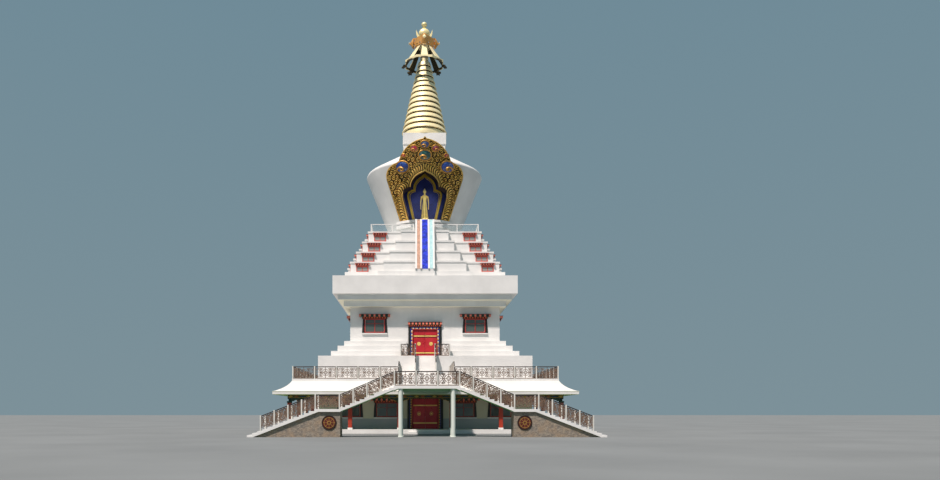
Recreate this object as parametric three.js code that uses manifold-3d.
import * as THREE from "three";
import { mergeVertices } from "three/addons/utils/BufferGeometryUtils.js";
import Module from "manifold-3d";

// A whitewashed stupa that people enter, 37 m tall. Millimetres, +Z up, front towards -Y.
// The origin is on the ground, on the tower's axis. A square storey is given by its half
// width: the distance from the axis to the outer face of a wall.

const wasm = await Module();
wasm.setup();

// Vertices nearer than this are one vertex.
const WELD = 0.01;
// Pieces that meet on a sloping or cut face stay this far apart.
const GAP = 0.3;
const QUARTER = Math.PI / 2;

// Porch floor
const PLINTH_HALF = 11200;
const PLINTH_TOP = 300;
const PLINTH_STEP = { half: 1300, front: 11950, top: 150 };

// Ground storey
const WALL = 450;
const GROUND_HALF = 8500;
const GROUND_WALL_TOP = 4060;
const GROUND_WINDOW = { width: 1500, sill: 1260, head: 2400 };
const GROUND_WINDOWS_FRONT = [3050, 6000];
const GROUND_WINDOWS_SIDE = [0, 3050, 6000];
const GLASS = 20;
const GLASS_LAP = 80;

// Entrance
const ENTRY_HALF = 1025;
const ENTRY_HEAD = 2750;
const ENTRY_FRAME_HALF = 1350;
const ENTRY_FRAME_TOP = 2960;
const FRAME_PROUD = 30;
const FRAME_DEPTH = 280;
const LEAF = { gap: 5, side: 20, thick: 60, under: 10, top: 10, front: 8440 };
const PIVOT = { radius: 15, inset: 30, sides: 8 };

// Porch
const COLUMN = 300;
const COLUMN_LINE = 10460;
const COLUMN_INNER = [2000, 5800];
const BEAM = { low: 2720, top: 2970, width: 260, bite: 130 };
const BRACKET = { half: 900, halfLow: 330, low: 2480, width: 200 };
const EAVE = { tip: 11570, soffit: 2970, fascia: 3210, ceiling: 150, neck: 150, steps: 6 };
const EAVE_CURVE = [10620, 3500];

// Terrace over the porch
const TERRACE_HALF = 10300;
const TERRACE_TOP = 4220;
const RAIL_LINE = 10240;
const RAIL_GATE = 1850;
const RAIL = { post: 90, top: 950, topDepth: 70, low: 0, lowDepth: 60, sunk: 0 };
const STAIR_RAIL = { ...RAIL, low: 150, lowDepth: 40, sunk: 140 };
const RAIL_BAYS_FRONT = 5;
const RAIL_BAYS_SIDE = 12;

// Base block and the steps on it
const BASE_HALF = 8530;
const BASE_TOP = 6130;
const BASE_FLOOR = 250;
const STEPS = [[7610, 6580], [7127, 7050], [6643, 7480]];
const STEPS_NOTCH = 1500;

// Throne storey
const THRONE_HALF = 6180;
const THRONE_TOP = 10310;
const THRONE_WINDOW = { width: 1500, sill: 8210, head: 9340 };
const THRONE_WINDOWS_FRONT = [4150];
const THRONE_WINDOWS_SIDE = [0, 4150];
const UPPER_DOOR = { half: 980, head: 8460, frameHalf: 1375, frameTop: 8700, thick: 60, set: 150 };

// Cornice
const CORBELS = [[6660, 10810], [7110, 11250]];
const CORNICE_HALF = 7500;
const CORNICE_TOP = 12710;
const CORNICE_WALL = 700;
const CORNICE_FLOOR = 300;

// Terraces: half width, half width of the centre bay, underside of the coping
const BAY_PROUD = 460;
const TIER_FOOT = { half: 6590, bay: 3870, top: 13150 };
const TIERS = [
  [6158, 3400, 13940],
  [5702, 2930, 14870],
  [5234, 2448, 15820],
  [4765, 1987, 16780],
];
const COPING = 140;
const COPING_PROUD = 50;
const LEDGE_DEPTH = 760;
const TIER_WINDOW = { fromCorner: 980, width: 860, drop: 260, height: 400 };
const SUMMIT_FLOOR = 250;
const SUMMIT = TIERS[3][2] + COPING;
const BALUSTRADE = { line: 4545, gate: 950, height: 680, post: 80, rail: 60, bays: 6, gateBays: 2 };

// Steep triple stair up the terraces
const CLIMB = { half: 800, thick: 200, clear: 3, footTop: 13300, top: 17850, landing: 3905 };

// Pedestal under the niche: radius about a point in front of the axis, and the tops of its bands
const PEDESTAL = { centre: -570, half: 2450, steps: 12 };
const PEDESTAL_BANDS = [[3080, 17600], [3260, 17900], [3130, 18000], [3330, 18200]];

// Vase
const VASE = { foot: 2855, shoulder: 5180, shoulderHeight: 22670, neck: 1970, top: 24800, sides: 40 };
const VASE_RIM = { control: [5264, 22878], end: [4900, 23090], steps: 4 };
const VASE_LEAN = (VASE.shoulder - VASE.foot) / (VASE.shoulderHeight - SUMMIT);
const NICHE = { floor: 18200, back: 3000 };
const SURROUND = { proud: 300, foot: 18210, top: 24500 };

// Figure in the niche: radius at each height above its foot
const FIGURE = { y: -3480, base: 120, baseRadius: 390, sides: 12 };
const FIGURE_ROBE = [[330, 120], [230, 300], [200, 1150], [330, 1900], [300, 2030], [110, 2120], [90, 2200]];
const FIGURE_HEAD = [[150, 2330], [150, 2460], [70, 2600], [25, 2780]];

// Harmika
const HARMIKA = [[1830, 25380], [1910, 26370]];

// Spire of thirteen rings
const SPIRE = { foot: 1950, wide: 2040, head: 560, rings: 13, first: 590, pitch: 504, top: 33400, sides: 16 };
const SPIRE_TAPER = 0.94;

// Parasol, crown and finial
const PARASOL = { ring: 1710, ringWidth: 240, ringDepth: 130, tip: 2040, tipDrop: 200, hub: 360, sides: 8 };
const PARASOL_RIB = { width: 420, thick: 90 };
const PARASOL_HUB_TOP = 34740;
const CROWN = { corner: 1080, wall: 120, floor: 100, top: 35700, sides: 4 };
const FINIAL_STEM = [[0, 34840], [160, 34840], [120, 35700], [200, 35850], [90, 35900], [0, 35900]];
const CRESCENT = { half: 790, tip: 36450, low: 35760, thick: 110 };
const CRESCENT_BEND = { outer: 711, inner: 490, low: 36015 };
const SUN = { radius: 420, height: 36330, thick: 154, sides: 16 };
const JEWEL = [[0, 36680], [60, 36740], [240, 36860], [190, 37000], [40, 37150], [0, 37200]];

// Double stair in front
const NEAR_RAIL = 19300;
const FAR_RAIL = 17830;
const OVERHANG = 60;
const LANDING = { half: 2180, top: 3350, thick: 200 };
const PILLAR = { x: 1720, radius: 140, sides: 16 };
const UPPER_RUN = { from: 2180, to: 5630, low: 1830, risers: 12, bays: 4 };
const LOWER_RUN = { from: 7320, to: 11700, low: 0, risers: 14, bays: 4 };
const WAIST = 150;
const MIDDLE_THICK = 180;
const HAUNCH = 300;
const LANDING_BAYS = 3;
const POST_SET = 60;
const NEWEL = { x: 10815, z: 440 };
const STONE_INSET = 30;
const MEDALLION = { x: 6370, z: 940, radius: 480, thick: 80, sides: 24 };

// Bridge from the landing to the terrace
const BRIDGE = { half: 1960, risers: 6, stepsTop: 16295, deck: 150 };
const BRIDGE_RAIL = { x: 1900, near: 16200, far: 10400 };
const BRIDGE_BAYS = { steps: 2, deck: 4 };
const BRIDGE_BEAM = { half: 1900, width: 250, low: 3780, from: 11250, to: 16100 };

// Stair from the terrace up to the throne storey
const CENTRAL = { half: 830, front: 11890, risers: 12, rail: 780, railEnd: [-11750, 4400], bays: 4 };
const BALCONY = { line: 8440, to: 1950, back: 7700 };

function finish(color, roughness, metalness = 0) {
  return new THREE.MeshStandardMaterial({ color, roughness, metalness, flatShading: true });
}

const paint = {
  white: finish(0xe9e7e2, 0.9),
  shade: finish(0xb9c0bc, 0.9),
  stone: finish(0x8c8276, 0.95),
  glass: finish(0x31403f, 0.1),
  red: finish(0xa83229, 0.6),
  crimson: finish(0xb02c33, 0.5),
  black: finish(0x171a1a, 0.6),
  iron: finish(0x5a4a42, 0.6, 0.3),
  gold: finish(0xd8a83c, 0.35, 0.9),
  gilt: finish(0xa87c30, 0.5, 0.7),
};

// A closed three.js geometry as a solid. A turned profile may come out inside out, so its
// triangles are flipped where the volume is negative.
function solid(geometry) {
  const bare = geometry.clone();
  bare.deleteAttribute("normal");
  bare.deleteAttribute("uv");
  const welded = mergeVertices(bare, WELD);
  const index = welded.index.array;
  const position = welded.attributes.position.array;
  const triangles = [];
  for (let i = 0; i < index.length; i += 3) {
    const [a, b, c] = [index[i], index[i + 1], index[i + 2]];
    if (a !== b && b !== c && c !== a) triangles.push(a, b, c);
  }
  const made = new wasm.Manifold(new wasm.Mesh({
    numProp: 3,
    vertProperties: new Float32Array(position),
    triVerts: new Uint32Array(triangles),
  }));
  if (made.volume() > 0) return made;
  for (let i = 0; i < triangles.length; i += 3) {
    [triangles[i], triangles[i + 1]] = [triangles[i + 1], triangles[i]];
  }
  return new wasm.Manifold(new wasm.Mesh({
    numProp: 3,
    vertProperties: new Float32Array(position),
    triVerts: new Uint32Array(triangles),
  }));
}

function union(solids) {
  return solids.reduce((all, next) => all.add(next));
}

// A box between two corners.
function block(x0, x1, y0, y1, z0, z1) {
  const box = new THREE.BoxGeometry(x1 - x0, y1 - y0, z1 - z0);
  return solid(box.translate((x0 + x1) / 2, (y0 + y1) / 2, (z0 + z1) / 2));
}

// A square block about the axis.
function squareBlock(half, z0, z1) {
  return block(-half, half, -half, half, z0, z1);
}

function outline(points) {
  return new THREE.Shape(points.map(([a, b]) => new THREE.Vector2(a, b)));
}

function extruded(shape, depth) {
  return new THREE.ExtrudeGeometry(shape, { depth, bevelEnabled: false, curveSegments: 6 });
}

// A plan, drawn in X and Y, raised from z0 to z1.
function planPrism(shape, z0, z1) {
  return solid(extruded(shape, z1 - z0).translate(0, 0, z0));
}

// An elevation, drawn in X and Z, from y0 to y1.
function frontPrism(shape, y0, y1) {
  const stand = new THREE.Matrix4().makeBasis(
    new THREE.Vector3(1, 0, 0), new THREE.Vector3(0, 0, 1), new THREE.Vector3(0, -1, 0));
  return solid(extruded(shape, y1 - y0).applyMatrix4(stand).translate(0, y1, 0));
}

// A section, drawn in Y and Z, from x0 to x1.
function sidePrism(shape, x0, x1) {
  const stand = new THREE.Matrix4().makeBasis(
    new THREE.Vector3(0, 1, 0), new THREE.Vector3(0, 0, 1), new THREE.Vector3(1, 0, 0));
  return solid(extruded(shape, x1 - x0).applyMatrix4(stand).translate(x0, 0, 0));
}

// A profile of radius and height turned about the axis.
function turned(profile, sides, start = 0) {
  const points = profile.map(([r, z]) => new THREE.Vector2(r, z));
  return solid(new THREE.LatheGeometry(points, sides, start).rotateX(QUARTER));
}

// A profile of half width and height carried round a square.
function squared(profile) {
  return turned(profile.map(([half, z]) => [half * Math.SQRT2, z]), 4, QUARTER / 2);
}

function closed(profile) {
  return [...profile, profile[0]];
}

// The points of a quadratic curve, without its first.
function bend(from, control, to, steps) {
  const curve = new THREE.QuadraticBezierCurve(
    new THREE.Vector2(...from), new THREE.Vector2(...control), new THREE.Vector2(...to));
  return curve.getPoints(steps).slice(1).map((p) => [p.x, p.y]);
}

function quarterTurns(shape, turns) {
  return shape.rotate([0, 0, 90 * turns]);
}

function mirrored(shape) {
  return shape.mirror([1, 0, 0]);
}

const stupa = new THREE.Group();

// Adds one named piece to a storey's group, turned by quarter turns about the axis.
function piece(group, name, shape, material, turns = 0) {
  const mesh = shape.getMesh();
  const geometry = new THREE.BufferGeometry();
  geometry.setAttribute("position", new THREE.BufferAttribute(new Float32Array(mesh.vertProperties), 3));
  geometry.setIndex(new THREE.BufferAttribute(new Uint32Array(mesh.triVerts), 1));
  geometry.computeVertexNormals();
  const part = new THREE.Mesh(geometry, material);
  part.name = name;
  part.rotation.z = QUARTER * turns;
  group.add(part);
}

function storey(name) {
  const group = new THREE.Group();
  group.name = name;
  stupa.add(group);
  return group;
}

// Boxes that cut a row of windows through the front wall, on both sides of the middle.
function windowCuts(centres, window, half) {
  const cuts = [];
  for (const centre of centres) {
    for (const x of centre === 0 ? [0] : [-centre, centre]) {
      cuts.push(block(x - window.width / 2, x + window.width / 2, -half - WALL, -half + 2 * WALL,
        window.sill, window.head));
    }
  }
  return union(cuts);
}

// Front wall between two values of X, and a side wall that fits between front and back.
function frontWall(half, x0, x1, z0, z1) {
  return block(x0, x1, -half, -half + WALL, z0, z1);
}

function sideWall(half, z0, z1) {
  return block(-half + WALL, half - WALL, -half, -half + WALL, z0, z1);
}

// One sheet of glass round a storey, just inside its walls.
function glazing(half, window) {
  const outer = half - WALL - GAP;
  const z0 = window.sill - GLASS_LAP;
  const z1 = window.head + GLASS_LAP;
  return squareBlock(outer, z0, z1).subtract(squareBlock(outer - GLASS, z0 - WALL, z1 + WALL));
}

// Jambs and head of a door, in the front wall.
function doorFrame(half, frameHalf, floor, head, frameTop, face) {
  const y0 = -face - FRAME_PROUD;
  const y1 = -face + FRAME_DEPTH;
  const whole = block(-frameHalf, frameHalf, y0, y1, floor, frameTop);
  return whole.subtract(block(-half, half, y0 - WALL, y1 + WALL, floor - WALL, head));
}

// The top of a flight from (from, high) to (to, low), with its first riser at `from` and its
// last at `to`.
function stepsDown(from, high, to, low, risers) {
  const riser = (high - low) / risers;
  const tread = (to - from) / (risers - 1);
  const points = [[from, high]];
  for (let i = 0; i < risers; i += 1) {
    const u = from + i * tread;
    if (i > 0) points.push([u, high - i * riser]);
    points.push([u, high - (i + 1) * riser]);
  }
  return points;
}

// Whether a line bends at b on its way from a to c.
function bends(a, b, c) {
  return Math.abs((b[0] - a[0]) * (c[1] - a[1]) - (b[1] - a[1]) * (c[0] - a[0])) > 1;
}

// A railing over a base line of stations (u, z), with a post at each: a top rail, a bottom
// rail, and between the posts an open panel. On a flight the bottom rail is lifted off the
// steps and the posts reach down to them. The prism is frontPrism or sidePrism.
function railing(prism, stations, at, style) {
  const half = style.post / 2;
  const points = [];
  const panels = [];
  const [first] = stations;
  points.push([first[0] - half, first[1] + style.top], [first[0] - half, first[1] - style.sunk]);
  for (let i = 0; i + 1 < stations.length; i += 1) {
    const [left, zLeft] = [stations[i][0] + half, stations[i][1]];
    const [right, zRight] = [stations[i + 1][0] - half, stations[i + 1][1]];
    if (style.low > 0) {
      points.push([left, zLeft - style.sunk], [left, zLeft + style.low], [right, zRight + style.low],
        [right, zRight - style.sunk]);
    }
    const [low, high] = [style.low + style.lowDepth, style.top - style.topDepth];
    const panel = outline([
      [left, zLeft + low], [right, zRight + low], [right, zRight + high], [left, zLeft + high]]);
    panels.push(prism(panel, at - style.post, at + style.post));
  }
  const last = stations[stations.length - 1];
  points.push([last[0] + half, last[1] - style.sunk], [last[0] + half, last[1] + style.top]);
  for (let i = stations.length - 2; i > 0; i -= 1) {
    if (bends(stations[i - 1], stations[i], stations[i + 1])) {
      points.push([stations[i][0], stations[i][1] + style.top]);
    }
  }
  return prism(outline(points), at - half, at + half).subtract(union(panels));
}

function frontRail(stations, y, style = RAIL) {
  return railing(frontPrism, stations, y, style);
}

function sideRail(stations, x, style = RAIL) {
  return railing(sidePrism, stations, x, style);
}

// Stations at equal steps along a straight line.
function stationsAlong([u0, z0], [u1, z1], bays) {
  const between = (a, b, i) => a + ((b - a) * i) / bays;
  return Array.from({ length: bays + 1 }, (_, i) => [between(u0, u1, i), between(z0, z1, i)]);
}

function level(u0, u1, bays, z) {
  return stationsAlong([u0, z], [u1, z], bays);
}

// Ground and porch

const ground = storey("ground_storey");
const plinthStep = block(
  -PLINTH_STEP.half, PLINTH_STEP.half, -PLINTH_STEP.front, -PLINTH_HALF, 0, PLINTH_STEP.top);
piece(ground, "plinth", squareBlock(PLINTH_HALF, 0, PLINTH_TOP).add(plinthStep), paint.white);

const frontCuts = windowCuts(GROUND_WINDOWS_FRONT, GROUND_WINDOW, GROUND_HALF);
const sideCuts = windowCuts(GROUND_WINDOWS_SIDE, GROUND_WINDOW, GROUND_HALF);
const groundFrontRight = frontWall(GROUND_HALF, ENTRY_FRAME_HALF, GROUND_HALF, PLINTH_TOP, GROUND_WALL_TOP)
  .subtract(frontCuts);
const groundSide = sideWall(GROUND_HALF, PLINTH_TOP, GROUND_WALL_TOP).subtract(sideCuts);
const groundBack = frontWall(GROUND_HALF, -GROUND_HALF, GROUND_HALF, PLINTH_TOP, GROUND_WALL_TOP)
  .subtract(sideCuts);
piece(ground, "ground_wall_front_right", groundFrontRight, paint.shade);
piece(ground, "ground_wall_front_left", mirrored(groundFrontRight), paint.shade);
piece(ground, "ground_wall_over_door",
  frontWall(GROUND_HALF, -ENTRY_FRAME_HALF, ENTRY_FRAME_HALF, ENTRY_FRAME_TOP, GROUND_WALL_TOP), paint.shade);
piece(ground, "ground_wall_right", groundSide, paint.shade, 1);
piece(ground, "ground_wall_back", groundBack, paint.shade, 2);
piece(ground, "ground_wall_left", groundSide, paint.shade, 3);
piece(ground, "ground_glazing", glazing(GROUND_HALF, GROUND_WINDOW).subtract(
  block(-ENTRY_FRAME_HALF, ENTRY_FRAME_HALF, -GROUND_HALF, 0, 0, GROUND_WALL_TOP)), paint.glass);

// Entrance: two leaves on pivots in the floor and the head, opening inwards

piece(ground, "entrance_frame", doorFrame(
  ENTRY_HALF, ENTRY_FRAME_HALF, PLINTH_TOP, ENTRY_HEAD, ENTRY_FRAME_TOP, GROUND_HALF), paint.black);

const leafEdge = ENTRY_HALF - LEAF.side;
const pivotX = leafEdge - PIVOT.inset;
const pivotY = -LEAF.front + LEAF.thick / 2;
function pivot(z0, z1) {
  return turned([[0, z0], [PIVOT.radius, z0], [PIVOT.radius, z1], [0, z1]], PIVOT.sides)
    .translate([pivotX, pivotY, 0]);
}
const leafLow = PLINTH_TOP + LEAF.under;
const leafHigh = ENTRY_HEAD - LEAF.top;
const leafMiddle = (leafLow + leafHigh) / 2;
const leaf = union([
  block(LEAF.gap, leafEdge, -LEAF.front, -LEAF.front + LEAF.thick, leafLow, leafHigh),
  pivot(PLINTH_TOP + GAP, leafMiddle),
  pivot(leafMiddle, ENTRY_HEAD - GAP),
]);
piece(ground, "entrance_door_right", leaf, paint.crimson);
piece(ground, "entrance_door_left", mirrored(leaf), paint.crimson);

function column(x) {
  return block(x - COLUMN / 2, x + COLUMN / 2, -COLUMN_LINE - COLUMN / 2, -COLUMN_LINE + COLUMN / 2,
    PLINTH_TOP, BEAM.low + BEAM.bite);
}
function bracket(x) {
  const shape = outline([
    [x - BRACKET.halfLow, BRACKET.low], [x + BRACKET.halfLow, BRACKET.low],
    [x + BRACKET.half, BEAM.low + BEAM.bite], [x - BRACKET.half, BEAM.low + BEAM.bite]]);
  return frontPrism(shape, -COLUMN_LINE - BRACKET.width / 2, -COLUMN_LINE + BRACKET.width / 2);
}
const beamInner = COLUMN_LINE - BEAM.width / 2;
const beamOuter = COLUMN_LINE + BEAM.width / 2;
const innerColumns = COLUMN_INNER.flatMap((x) => [-x, x]);
const porchSide = union([
  block(-beamInner, beamInner, -beamOuter, -beamInner, BEAM.low, BEAM.top),
  ...innerColumns.map(column),
  ...innerColumns.map(bracket),
]);
const cornerBracket = bracket(COLUMN_LINE).subtract(
  block(COLUMN_LINE, COLUMN_LINE + BRACKET.half, -PLINTH_HALF, -COLUMN_LINE + COLUMN, 0, BEAM.top));
const porchFront = union([
  block(-beamOuter, beamOuter, -beamOuter, -beamInner, BEAM.low, BEAM.top),
  ...innerColumns.map(column),
  ...innerColumns.map(bracket),
  column(-COLUMN_LINE),
  column(COLUMN_LINE),
  cornerBracket,
  mirrored(cornerBracket),
]);
piece(ground, "porch_front", porchFront, paint.red);
piece(ground, "porch_back", porchFront, paint.red, 2);
const besideCorner = union([-1, 1].map((side) => block(
  side * COLUMN_LINE - COLUMN / 2 - GAP, side * COLUMN_LINE + COLUMN / 2 + GAP,
  -PLINTH_HALF, -COLUMN_LINE + COLUMN, 0, BEAM.top)));
const porchBetween = porchSide.subtract(besideCorner);
piece(ground, "porch_right", porchBetween, paint.red, 1);
piece(ground, "porch_left", porchBetween, paint.red, 3);

const eaveTip = [EAVE.tip, EAVE.fascia];
const eaveProfile = closed([
  [GROUND_HALF, EAVE.soffit],
  [EAVE.tip, EAVE.soffit],
  eaveTip,
  ...bend(eaveTip, EAVE_CURVE, [TERRACE_HALF, GROUND_WALL_TOP], EAVE.steps),
  [TERRACE_HALF - EAVE.neck, GROUND_WALL_TOP],
  [TERRACE_HALF - EAVE.neck, EAVE.soffit + EAVE.ceiling],
  [GROUND_HALF, EAVE.soffit + EAVE.ceiling],
]);
piece(ground, "eave_roof", squared(eaveProfile), paint.white);

// Terrace, its railing, and the base block

const terrace = storey("terrace");
piece(terrace, "terrace_floor", squareBlock(TERRACE_HALF, GROUND_WALL_TOP, TERRACE_TOP).subtract(
  squareBlock(GROUND_HALF - WALL, 0, SUMMIT)), paint.white);

const railFrontRight = frontRail(level(RAIL_GATE, RAIL_LINE, RAIL_BAYS_FRONT, TERRACE_TOP), -RAIL_LINE);
piece(terrace, "terrace_rail_front_right", railFrontRight, paint.iron);
piece(terrace, "terrace_rail_front_left", mirrored(railFrontRight), paint.iron);
const railCorners = union([-1, 1].map((side) => block(
  side * RAIL_LINE - RAIL.post / 2, side * RAIL_LINE + RAIL.post / 2,
  -RAIL_LINE - RAIL.post, -RAIL_LINE + RAIL.post, 0, SUMMIT)));
const railBack = frontRail(level(-RAIL_LINE, RAIL_LINE, RAIL_BAYS_SIDE, TERRACE_TOP), -RAIL_LINE);
const railSide = railBack.subtract(railCorners);
piece(terrace, "terrace_rail_right", railSide, paint.iron, 1);
piece(terrace, "terrace_rail_back", railBack, paint.iron, 2);
piece(terrace, "terrace_rail_left", railSide, paint.iron, 3);

piece(terrace, "base_block", squareBlock(BASE_HALF, TERRACE_TOP, BASE_TOP).subtract(
  squareBlock(BASE_HALF - WALL, 0, BASE_TOP - BASE_FLOOR)), paint.white);

const stepProfile = [[THRONE_HALF, BASE_TOP]];
let stepLow = BASE_TOP;
for (const [half, top] of STEPS) {
  stepProfile.push([half, stepLow], [half, top]);
  stepLow = top;
}
stepProfile.push([THRONE_HALF, stepLow]);
piece(terrace, "stepped_base", squared(closed(stepProfile)).subtract(
  block(-STEPS_NOTCH, STEPS_NOTCH, -BASE_HALF, 0, BASE_TOP - WALL, THRONE_TOP)), paint.white);

// Throne storey

const throne = storey("throne_storey");
const throneFrontCuts = windowCuts(THRONE_WINDOWS_FRONT, THRONE_WINDOW, THRONE_HALF);
const throneSideCuts = windowCuts(THRONE_WINDOWS_SIDE, THRONE_WINDOW, THRONE_HALF);
const throneFront = frontWall(THRONE_HALF, -THRONE_HALF, THRONE_HALF, BASE_TOP, THRONE_TOP);
const throneSide = sideWall(THRONE_HALF, BASE_TOP, THRONE_TOP).subtract(throneSideCuts);
const upperDoorCut = block(
  -UPPER_DOOR.frameHalf, UPPER_DOOR.frameHalf, -BASE_HALF, 0, 0, UPPER_DOOR.frameTop);
piece(throne, "throne_wall_front", throneFront.subtract(throneFrontCuts).subtract(upperDoorCut), paint.white);
piece(throne, "throne_wall_right", throneSide, paint.white, 1);
piece(throne, "throne_wall_back", throneFront.subtract(throneSideCuts), paint.white, 2);
piece(throne, "throne_wall_left", throneSide, paint.white, 3);
piece(throne, "throne_glazing", glazing(THRONE_HALF, THRONE_WINDOW).subtract(upperDoorCut), paint.glass);
piece(throne, "upper_door_frame", doorFrame(UPPER_DOOR.half, UPPER_DOOR.frameHalf, BASE_TOP, UPPER_DOOR.head,
  UPPER_DOOR.frameTop, THRONE_HALF), paint.black);
piece(throne, "upper_door", block(-UPPER_DOOR.half, UPPER_DOOR.half, -THRONE_HALF + UPPER_DOOR.set,
  -THRONE_HALF + UPPER_DOOR.set + UPPER_DOOR.thick, BASE_TOP, UPPER_DOOR.head), paint.crimson);

// Cornice

const corbelProfile = [[THRONE_HALF - WALL, THRONE_TOP]];
let corbelLow = THRONE_TOP;
for (const [half, top] of CORBELS) {
  corbelProfile.push([half, corbelLow], [half, top]);
  corbelLow = top;
}
corbelProfile.push([THRONE_HALF - WALL, corbelLow]);
piece(throne, "cornice_corbels", squared(closed(corbelProfile)), paint.white);

// A square plan with a wider bay in the middle of each side.
function bayedPlan(half, bay) {
  const face = -half - BAY_PROUD;
  const points = [];
  let front = [[-half, -half], [-bay, -half], [-bay, face], [bay, face], [bay, -half]];
  for (let side = 0; side < 4; side += 1) {
    points.push(...front);
    front = front.map(([x, y]) => [-y, x]);
  }
  return outline(points);
}

const corniceSlab = squareBlock(CORNICE_HALF, corbelLow, CORNICE_TOP)
  .add(planPrism(bayedPlan(TIER_FOOT.half, TIER_FOOT.bay), CORNICE_TOP, TIER_FOOT.top))
  .subtract(squareBlock(CORNICE_HALF - CORNICE_WALL, 0, CORNICE_TOP - CORNICE_FLOOR))
  .subtract(squareBlock(TIERS[0][0] - WALL, CORNICE_TOP, SUMMIT));
piece(throne, "cornice_slab", corniceSlab, paint.white);

// Terraces: a hollow storey each, closed by a coping that carries the next one. The floor of
// the summit is the coping of the last, with its deeper middle let in between the walls.

const terraces = storey("terraces");
let tierLow = TIER_FOOT.top;
TIERS.forEach(([half, bay, underside], i) => {
  const top = underside + COPING;
  const last = i === TIERS.length - 1;
  const coping = planPrism(bayedPlan(half + COPING_PROUD, bay + COPING_PROUD), underside, top);
  let tier = planPrism(bayedPlan(half, bay), tierLow, underside)
    .subtract(squareBlock(half - WALL, 0, underside));
  if (last) {
    const middle = squareBlock(half - WALL - GAP, top - SUMMIT_FLOOR, top);
    piece(terraces, "summit_floor", coping.add(middle), paint.white);
  } else {
    tier = tier.add(coping.subtract(squareBlock(half - LEDGE_DEPTH, 0, SUMMIT)));
  }
  const head = underside - TIER_WINDOW.drop;
  const window = { width: TIER_WINDOW.width, sill: head - TIER_WINDOW.height, head };
  const cuts = windowCuts([half - TIER_WINDOW.fromCorner], window, half);
  for (let side = 0; side < 4; side += 1) tier = tier.subtract(quarterTurns(cuts, side));
  piece(terraces, `terrace_tier_${i + 1}`, tier, paint.white);
  tierLow = top;
});

const balustradeStyle = {
  post: BALUSTRADE.post,
  top: BALUSTRADE.height,
  topDepth: BALUSTRADE.rail,
  low: 0,
  lowDepth: BALUSTRADE.rail,
  sunk: 0,
};
function balustrade(x0, x1, bays) {
  return frontRail(level(x0, x1, bays, SUMMIT), -BALUSTRADE.line, balustradeStyle);
}
const wholeSide = balustrade(-BALUSTRADE.line, BALUSTRADE.line, BALUSTRADE.bays);
const gateSide = balustrade(BALUSTRADE.gate, BALUSTRADE.line, BALUSTRADE.gateBays);
piece(terraces, "summit_balustrade", union([
  quarterTurns(wholeSide, 1), quarterTurns(wholeSide, 2), quarterTurns(wholeSide, 3),
  gateSide, mirrored(gateSide),
]), paint.white);

// The stair leans on the copings: its underside passes just in front of their edges.
const lowTier = TIERS[0];
const highTier = TIERS[TIERS.length - 1];
const edgeLow = [-(lowTier[0] + BAY_PROUD + COPING_PROUD), lowTier[2] + COPING];
const edgeHigh = [-(highTier[0] + BAY_PROUD + COPING_PROUD), SUMMIT];
const climbSlope = (edgeHigh[1] - edgeLow[1]) / (edgeHigh[0] - edgeLow[0]);
const climbLeast = Math.max(...TIERS.map(([half, , underside]) => {
  const edge = -(half + BAY_PROUD + COPING_PROUD);
  return underside + COPING - climbSlope * edge;
}));
const climbBack = (z) => (z - climbLeast) / climbSlope - CLIMB.clear;
const climbFront = (z) => climbBack(z) - CLIMB.thick;
piece(terraces, "triple_stair", sidePrism(outline([
  [climbFront(CLIMB.footTop), CORNICE_TOP],
  [climbBack(CLIMB.footTop), CORNICE_TOP],
  [climbBack(CLIMB.footTop), CLIMB.footTop],
  [climbBack(SUMMIT + GAP), SUMMIT + GAP],
  [-CLIMB.landing, SUMMIT + GAP],
  [-CLIMB.landing, CLIMB.top],
  [climbFront(CLIMB.top), CLIMB.top],
  [climbFront(CLIMB.footTop), CLIMB.footTop],
]), -CLIMB.half, CLIMB.half), paint.white);

// Vase, its pedestal and the niche with the figure

const vaseGroup = storey("vase");
const rimStart = [VASE.shoulder, VASE.shoulderHeight];
const vaseProfile = [
  [0, SUMMIT],
  [VASE.foot, SUMMIT],
  rimStart,
  ...bend(rimStart, VASE_RIM.control, VASE_RIM.end, VASE_RIM.steps),
  [VASE.neck, VASE.top],
  [0, VASE.top],
];
const grown = (profile, by) => profile.map(([r, z]) => [r > 0 ? r + by : 0, z]);
const vaseRadius = (z) => VASE.foot + VASE_LEAN * (z - SUMMIT);

// The opening of the niche: a lobe on each side, then a pointed arch.
function nicheOpening() {
  const shape = new THREE.Shape();
  const foot = NICHE.floor;
  shape.moveTo(-1360, foot);
  shape.lineTo(1360, foot);
  shape.lineTo(1850, 19950);
  shape.quadraticCurveTo(1960, 20500, 1180, 20580);
  shape.quadraticCurveTo(1190, 21290, 470, 21650);
  shape.quadraticCurveTo(150, 21760, 0, 21900);
  shape.quadraticCurveTo(-150, 21760, -470, 21650);
  shape.quadraticCurveTo(-1190, 21290, -1180, 20580);
  shape.quadraticCurveTo(-1960, 20500, -1850, 19950);
  return shape;
}

// The outline of the surround: it widens upwards, turns in over a round shoulder to a
// notch, and closes in a pointed arch.
function surroundOutline() {
  const shape = new THREE.Shape();
  const foot = SURROUND.foot;
  shape.moveTo(-2130, foot);
  shape.lineTo(2130, foot);
  shape.lineTo(3210, 21550);
  shape.bezierCurveTo(3400, 22200, 3000, 22640, 2200, 22720);
  shape.bezierCurveTo(2000, 23500, 1250, 24180, 140, 24340);
  shape.lineTo(0, SURROUND.top);
  shape.lineTo(-140, 24340);
  shape.bezierCurveTo(-1250, 24180, -2000, 23500, -2200, 22720);
  shape.bezierCurveTo(-3000, 22640, -3400, 22200, -3210, 21550);
  return shape;
}

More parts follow.
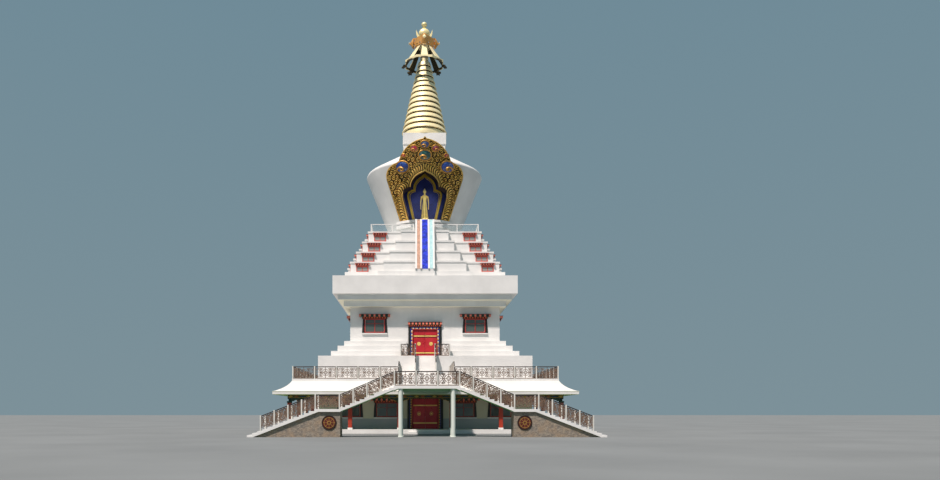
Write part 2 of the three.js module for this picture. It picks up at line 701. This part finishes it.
// The rim lies inside the cone below it, so what is laid on the cone is clear of the rim.
const vaseSolid = turned(vaseProfile, VASE.sides);
const vaseClear = turned(grown(vaseProfile, GAP), VASE.sides);
const alcove = frontPrism(nicheOpening(), -2 * VASE.shoulder, -NICHE.back);
piece(vaseGroup, "vase", vaseSolid.subtract(alcove), paint.white);

const frontOnly = block(-VASE.shoulder, VASE.shoulder, -2 * VASE.shoulder, 0, SUMMIT, VASE.top);
const shellTop = SURROUND.top + WALL;
const shell = turned([
  [vaseRadius(SUMMIT) + GAP, SUMMIT],
  [vaseRadius(SUMMIT) + SURROUND.proud, SUMMIT],
  [vaseRadius(shellTop) + SURROUND.proud, shellTop],
  [vaseRadius(shellTop) + GAP, shellTop],
  [vaseRadius(SUMMIT) + GAP, SUMMIT],
], VASE.sides);
const surroundPrism = frontPrism(surroundOutline(), -2 * VASE.shoulder, -WALL);
piece(vaseGroup, "niche_surround", shell.intersect(frontOnly).intersect(surroundPrism)
  .subtract(frontPrism(nicheOpening(), -2 * VASE.shoulder, 0)), paint.gilt);

// One band of the pedestal: an arc in front, straight sides back to the vase.
function pedestalBand(radius, z0, z1) {
  const reach = Math.asin(PEDESTAL.half / radius);
  const points = [[PEDESTAL.half, 0], [-PEDESTAL.half, 0]];
  for (let i = 0; i <= PEDESTAL.steps; i += 1) {
    const angle = -reach + (2 * reach * i) / PEDESTAL.steps;
    points.push([radius * Math.sin(angle), PEDESTAL.centre - radius * Math.cos(angle)]);
  }
  return planPrism(outline(points), z0, z1);
}
let bandLow = SUMMIT;
const bands = PEDESTAL_BANDS.map(([radius, top]) => {
  const band = pedestalBand(radius, bandLow, top);
  bandLow = top;
  return band;
});
const climbClear = block(
  -CLIMB.half - GAP, CLIMB.half + GAP, -2 * VASE.shoulder, -CLIMB.landing + GAP, SUMMIT, CLIMB.top + GAP);
piece(vaseGroup, "niche_pedestal", union(bands).subtract(vaseClear).subtract(climbClear), paint.white);

const figureFoot = NICHE.floor + GAP;
const figureProfile = [
  [0, 0], [FIGURE.baseRadius, 0], [FIGURE.baseRadius, FIGURE.base],
  ...FIGURE_ROBE, ...FIGURE_HEAD, [0, FIGURE_HEAD[FIGURE_HEAD.length - 1][1]],
].map(([r, z]) => [r, z + figureFoot]);
const figure = turned(figureProfile, FIGURE.sides).translate([0, FIGURE.y, 0]);
piece(vaseGroup, "standing_figure", figure, paint.gold);

// Harmika, spire, parasol and finial

const top = storey("top");
const harmikaProfile = [[0, VASE.top]];
let harmikaLow = VASE.top;
for (const [half, high] of HARMIKA) {
  harmikaProfile.push([half, harmikaLow], [half, high]);
  harmikaLow = high;
}
harmikaProfile.push([0, harmikaLow]);
piece(top, "harmika", squared(harmikaProfile), paint.white);

const spireFoot = harmikaLow;
const spireStart = spireFoot + SPIRE.first;
const spireLean = (SPIRE.head - SPIRE.wide) / (SPIRE.top - spireStart);
const spireRadius = (z) => SPIRE.wide + spireLean * (z - spireStart);
const spireProfile = [[0, spireFoot], [SPIRE.foot, spireFoot], [SPIRE.foot, spireStart]];
for (let ring = 1; ring < SPIRE.rings; ring += 1) {
  const low = spireStart + (ring - 1) * SPIRE.pitch;
  const high = spireStart + ring * SPIRE.pitch;
  const end = ring === SPIRE.rings - 1 ? SPIRE.top : high;
  const wide = spireRadius(low);
  const narrow = spireRadius(end) * SPIRE_TAPER;
  spireProfile.push([wide, low], [narrow, end]);
}
spireProfile.push([0, SPIRE.top]);
piece(top, "spire", turned(spireProfile, SPIRE.sides), paint.gold);

// An eight-sided turning with a flat face to the front. The radius is to the flats.
function eightSided(profile) {
  const toCorner = 1 / Math.cos(Math.PI / PARASOL.sides);
  return turned(profile.map(([r, z]) => [r * toCorner, z]), PARASOL.sides, Math.PI / PARASOL.sides);
}
const ringInner = PARASOL.ring - PARASOL.ringWidth;
const parasolRing = eightSided(closed([
  [ringInner, SPIRE.top],
  [PARASOL.ring, SPIRE.top],
  [PARASOL.tip, SPIRE.top - PARASOL.tipDrop],
  [PARASOL.ring, SPIRE.top + PARASOL.ringDepth],
  [ringInner, SPIRE.top + PARASOL.ringDepth],
]));
const ribShape = outline([
  [-PARASOL.ring + PARASOL.ringWidth / 2, SPIRE.top + PARASOL.ringDepth / 2],
  [-PARASOL.hub / 2, PARASOL_HUB_TOP - PARASOL_RIB.thick],
  [-PARASOL.hub / 2, PARASOL_HUB_TOP],
  [-PARASOL.ring + PARASOL.ringWidth / 2, SPIRE.top + PARASOL.ringDepth],
]);
const rib = sidePrism(ribShape, -PARASOL_RIB.width / 2, PARASOL_RIB.width / 2);
const ribs = Array.from({ length: PARASOL.sides }, (_, i) => rib.rotate([0, 0, (360 * i) / PARASOL.sides]));
// The crown is square, with a corner to the front.
const crown = turned([
  [0, PARASOL_HUB_TOP], [CROWN.corner, PARASOL_HUB_TOP], [CROWN.corner, CROWN.top],
  [CROWN.corner - CROWN.wall, CROWN.top], [CROWN.corner - CROWN.wall, PARASOL_HUB_TOP + CROWN.floor],
  [0, PARASOL_HUB_TOP + CROWN.floor],
], CROWN.sides);
const hub = turned([
  [0, SPIRE.top], [PARASOL.hub, SPIRE.top], [PARASOL.hub, PARASOL_HUB_TOP], [0, PARASOL_HUB_TOP],
], SPIRE.sides);
piece(top, "parasol", union([hub, parasolRing, ...ribs, crown]), paint.gold);

const finialStem = turned(FINIAL_STEM, PIVOT.sides);
const crescent = new THREE.Shape();
crescent.moveTo(-CRESCENT.half, CRESCENT.tip);
crescent.quadraticCurveTo(-CRESCENT_BEND.outer, CRESCENT.low, 0, CRESCENT.low);
crescent.quadraticCurveTo(CRESCENT_BEND.outer, CRESCENT.low, CRESCENT.half, CRESCENT.tip);
crescent.quadraticCurveTo(CRESCENT_BEND.inner, CRESCENT_BEND.low, 0, CRESCENT_BEND.low);
crescent.quadraticCurveTo(-CRESCENT_BEND.inner, CRESCENT_BEND.low, -CRESCENT.half, CRESCENT.tip);
const sunDisc = new THREE.CylinderGeometry(SUN.radius, SUN.radius, SUN.thick, SUN.sides)
  .translate(0, 0, SUN.height);
const jewel = turned(JEWEL, PIVOT.sides);
piece(top, "finial", union([
  finialStem,
  frontPrism(crescent, -CRESCENT.thick / 2, CRESCENT.thick / 2),
  solid(sunDisc),
  jewel,
]), paint.gold);

// Double stair: a landing on pillars, two upper flights, and two lower flights on stone

const stair = storey("double_stair");
const slabNear = -NEAR_RAIL - OVERHANG;
const slabFar = -FAR_RAIL + OVERHANG;
const landingLow = LANDING.top - LANDING.thick;
function pillar(x, y) {
  const r = PILLAR.radius;
  const head = landingLow + r;
  return turned([[0, 0], [r, 0], [r, head], [0, head]], PILLAR.sides).translate([x, y, 0]);
}
const pillars = [];
for (const x of [-PILLAR.x, PILLAR.x]) {
  for (const y of [-NEAR_RAIL + PILLAR.radius, -FAR_RAIL - PILLAR.radius]) pillars.push(pillar(x, y));
}
const landingSlab = block(-LANDING.half, LANDING.half, slabNear, slabFar, landingLow, LANDING.top);
const haunchDrop = (HAUNCH * (LANDING.top - UPPER_RUN.low)) / (UPPER_RUN.to - UPPER_RUN.from);
const haunch = frontPrism(outline([
  [LANDING.half - HAUNCH, landingLow],
  [LANDING.half, landingLow - haunchDrop],
  [LANDING.half, landingLow + haunchDrop / 2],
]), slabNear, slabFar);
piece(stair, "landing", union([landingSlab, haunch, mirrored(haunch), ...pillars]), paint.white);

const upperRiser = (LANDING.top - UPPER_RUN.low) / UPPER_RUN.risers;
const upperSteps = stepsDown(
  UPPER_RUN.from, LANDING.top, UPPER_RUN.to, UPPER_RUN.low, UPPER_RUN.risers);
const upperOutline = [
  ...upperSteps.slice(1),
  [UPPER_RUN.to, UPPER_RUN.low - WAIST],
  [UPPER_RUN.from, LANDING.top - upperRiser - WAIST],
];
const upperFlight = frontPrism(outline(upperOutline), slabNear, slabFar);
piece(stair, "upper_flight_right", upperFlight, paint.white);
piece(stair, "upper_flight_left", mirrored(upperFlight), paint.white);

const lowerRiser = (UPPER_RUN.low - LOWER_RUN.low) / LOWER_RUN.risers;
const lowerSlope = (lowerRiser * (LOWER_RUN.risers - 1)) / (LOWER_RUN.to - LOWER_RUN.from);
const middleLow = UPPER_RUN.low - MIDDLE_THICK;
const kneeDrop = lowerRiser + WAIST - MIDDLE_THICK;
const knee = LOWER_RUN.from - kneeDrop / lowerSlope;
const waistEnd = LOWER_RUN.from + (middleLow - kneeDrop) / lowerSlope;
const slabOutline = [
  [UPPER_RUN.to, UPPER_RUN.low],
  ...stepsDown(LOWER_RUN.from, UPPER_RUN.low, LOWER_RUN.to, LOWER_RUN.low, LOWER_RUN.risers),
  [waistEnd, 0], [knee, middleLow], [UPPER_RUN.to, middleLow],
];
const stoneOutline = [
  [UPPER_RUN.to + STONE_INSET, 0], [waistEnd, 0], [waistEnd, STONE_INSET], [knee, middleLow + STONE_INSET],
  [UPPER_RUN.to + STONE_INSET, middleLow + STONE_INSET],
];
const medallion = new THREE.CylinderGeometry(
  MEDALLION.radius, MEDALLION.radius, MEDALLION.thick, MEDALLION.sides,
).translate(MEDALLION.x, -NEAR_RAIL - MEDALLION.thick / 2 + STONE_INSET, MEDALLION.z);
const lowerFlight = union([
  frontPrism(outline(slabOutline), slabNear, slabFar),
  frontPrism(outline(stoneOutline), -NEAR_RAIL, -FAR_RAIL),
  solid(medallion),
]);
piece(stair, "lower_flight_right", lowerFlight, paint.stone);
piece(stair, "lower_flight_left", mirrored(lowerFlight), paint.stone);

// Railings of the double stair. Their posts are cut where they meet the steps.

const lowerSlab = frontPrism(outline(slabOutline), slabNear, slabFar);
const walkRight = union([landingSlab, upperFlight, lowerSlab]).translate([GAP, 0, GAP]);
const landingEnd = [LANDING.half - POST_SET, LANDING.top];
const middleStart = [UPPER_RUN.to + POST_SET, UPPER_RUN.low];
const middleEnd = [LOWER_RUN.from - POST_SET, UPPER_RUN.low];
const flightStations = [
  ...stationsAlong(landingEnd, middleStart, UPPER_RUN.bays),
  ...stationsAlong(middleEnd, [NEWEL.x, NEWEL.z], LOWER_RUN.bays),
];
const nearFlights = frontRail(flightStations, -NEAR_RAIL, STAIR_RAIL).subtract(walkRight);
const landingStations = level(-landingEnd[0], landingEnd[0], LANDING_BAYS, LANDING.top + GAP);
const nearLanding = frontRail(landingStations, -NEAR_RAIL);
piece(stair, "stair_rail_front", union([nearLanding, nearFlights, mirrored(nearFlights)]), paint.iron);

const deckLow = TERRACE_TOP - BRIDGE.deck;
const bridgeFoot = -FAR_RAIL + OVERHANG;
const bridgeOutline = [
  [-TERRACE_HALF, deckLow],
  [-TERRACE_HALF, TERRACE_TOP],
  ...stepsDown(-BRIDGE.stepsTop, TERRACE_TOP, bridgeFoot, LANDING.top, BRIDGE.risers),
  [bridgeFoot, landingLow],
  [-BRIDGE_RAIL.near, deckLow],
];
const bridgeSlab = sidePrism(outline(bridgeOutline), -BRIDGE.half, BRIDGE.half);
const bridgeBeam = block(
  BRIDGE_BEAM.half - BRIDGE_BEAM.width, BRIDGE_BEAM.half, -BRIDGE_BEAM.to, -BRIDGE_BEAM.from,
  BRIDGE_BEAM.low, deckLow + BRIDGE.deck / 2);
piece(stair, "bridge", union([bridgeSlab, bridgeBeam, mirrored(bridgeBeam)]), paint.white);

const bridgeCorner = [-FAR_RAIL, LANDING.top];
const bridgeStations = [
  ...stationsAlong(bridgeCorner, [-BRIDGE_RAIL.near, TERRACE_TOP], BRIDGE_BAYS.steps),
  ...level(-BRIDGE_RAIL.near, -BRIDGE_RAIL.far, BRIDGE_BAYS.deck, TERRACE_TOP).slice(1),
];
const bridgeRail = sideRail(bridgeStations, BRIDGE_RAIL.x, STAIR_RAIL)
  .subtract(bridgeSlab.translate([0, -GAP, GAP]));
const rearFlights = frontRail([[BRIDGE_RAIL.x, LANDING.top], ...flightStations], -FAR_RAIL, STAIR_RAIL);
const rearRail = union([rearFlights, bridgeRail]).subtract(walkRight);
piece(stair, "stair_rail_rear_right", rearRail, paint.iron);
piece(stair, "stair_rail_rear_left", mirrored(rearRail), paint.iron);

// Stair from the terrace up to the throne storey, with the railing round its head

const centralOutline = [
  [-BASE_HALF, TERRACE_TOP],
  ...stepsDown(-BASE_HALF, BASE_TOP, -CENTRAL.front, TERRACE_TOP, CENTRAL.risers).slice(1),
];
const centralStair = sidePrism(outline(centralOutline), -CENTRAL.half, CENTRAL.half);
piece(terrace, "central_stair", centralStair, paint.white);

const balconyFront = frontRail(level(CENTRAL.rail, BALCONY.to, 1, BASE_TOP), -BALCONY.line);
const balconySide = sideRail(level(-BALCONY.line, -BALCONY.back, 1, BASE_TOP), BALCONY.to);
const centralRail = sideRail(stationsAlong(CENTRAL.railEnd, [-BALCONY.line, BASE_TOP], CENTRAL.bays),
  CENTRAL.rail, STAIR_RAIL).subtract(centralStair.translate([0, -GAP, GAP]))
  .subtract(squareBlock(BASE_HALF + GAP, TERRACE_TOP, BASE_TOP));
const balconyRail = union([balconyFront, balconySide, centralRail]);
piece(terrace, "balcony_rail_right", balconyRail, paint.iron);
piece(terrace, "balcony_rail_left", mirrored(balconyRail), paint.iron);

export default stupa;
